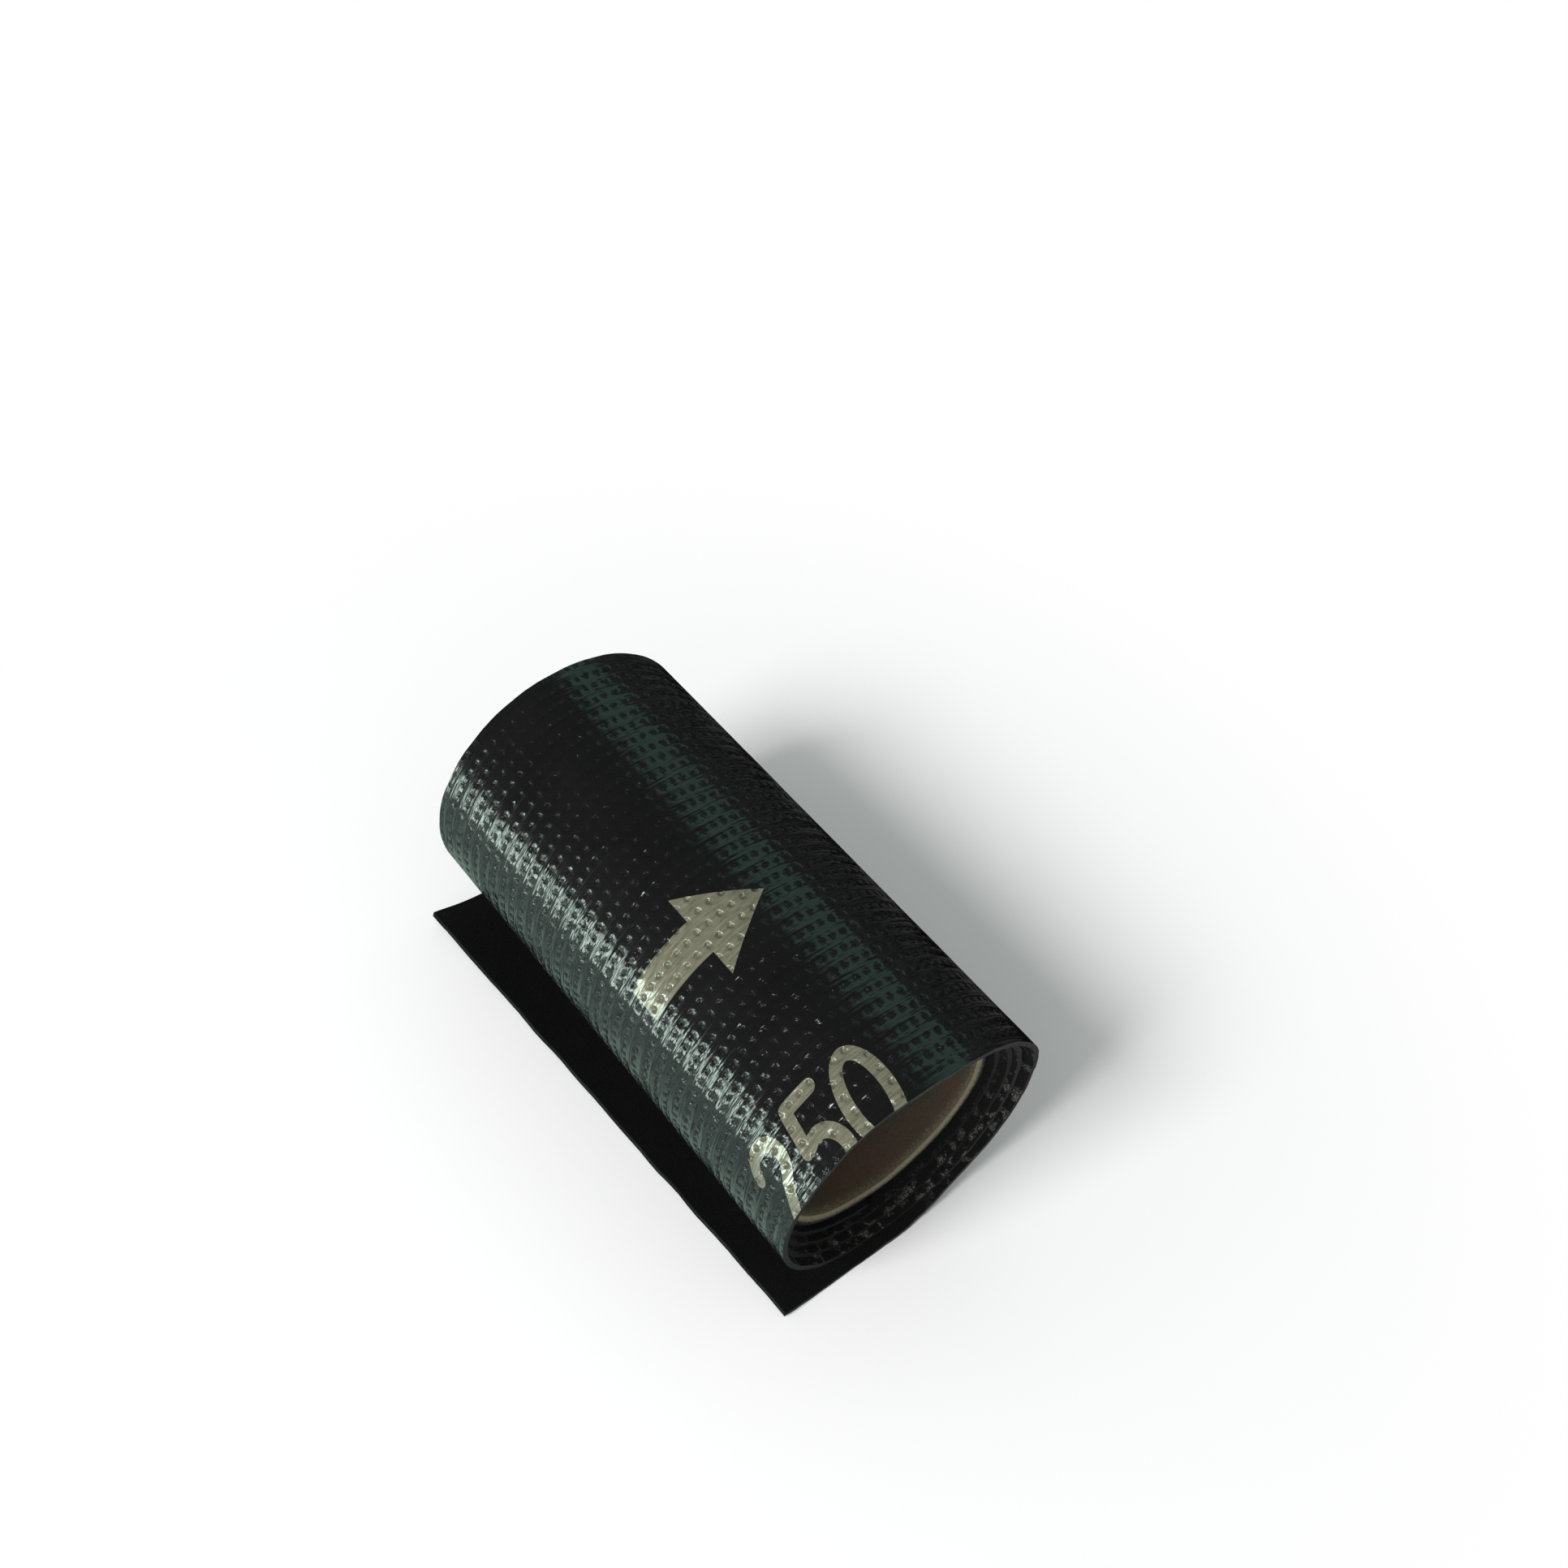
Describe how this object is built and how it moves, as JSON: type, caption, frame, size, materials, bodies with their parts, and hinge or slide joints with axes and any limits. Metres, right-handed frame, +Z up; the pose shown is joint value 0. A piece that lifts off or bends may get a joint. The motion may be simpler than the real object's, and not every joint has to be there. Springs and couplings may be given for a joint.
{
  "type": "roll of roofing felt",
  "caption": "Short roll of black bitumen roofing felt with an embossed film face, wound on a cardboard tube, its free end lying under it",
  "frame": {"origin": "middle of the base, on the floor under the roll", "axes": "+Y along the axis of the roll, away from the end that the picture shows; +Z up; the free end points to -X"},
  "size_m": [0.1106, 0.207, 0.1053],
  "materials": {
    "bitumen_felt": "black bitumen felt under a thin glossy film with small embossed dimples",
    "core_board": "brown board wound to a tube, fuzzy and paler at the cut edge"
  },
  "bodies": {
    "root": {"felt_roll": "bitumen_felt", "cardboard_core": "core_board"}
  },
  "joints": []
}
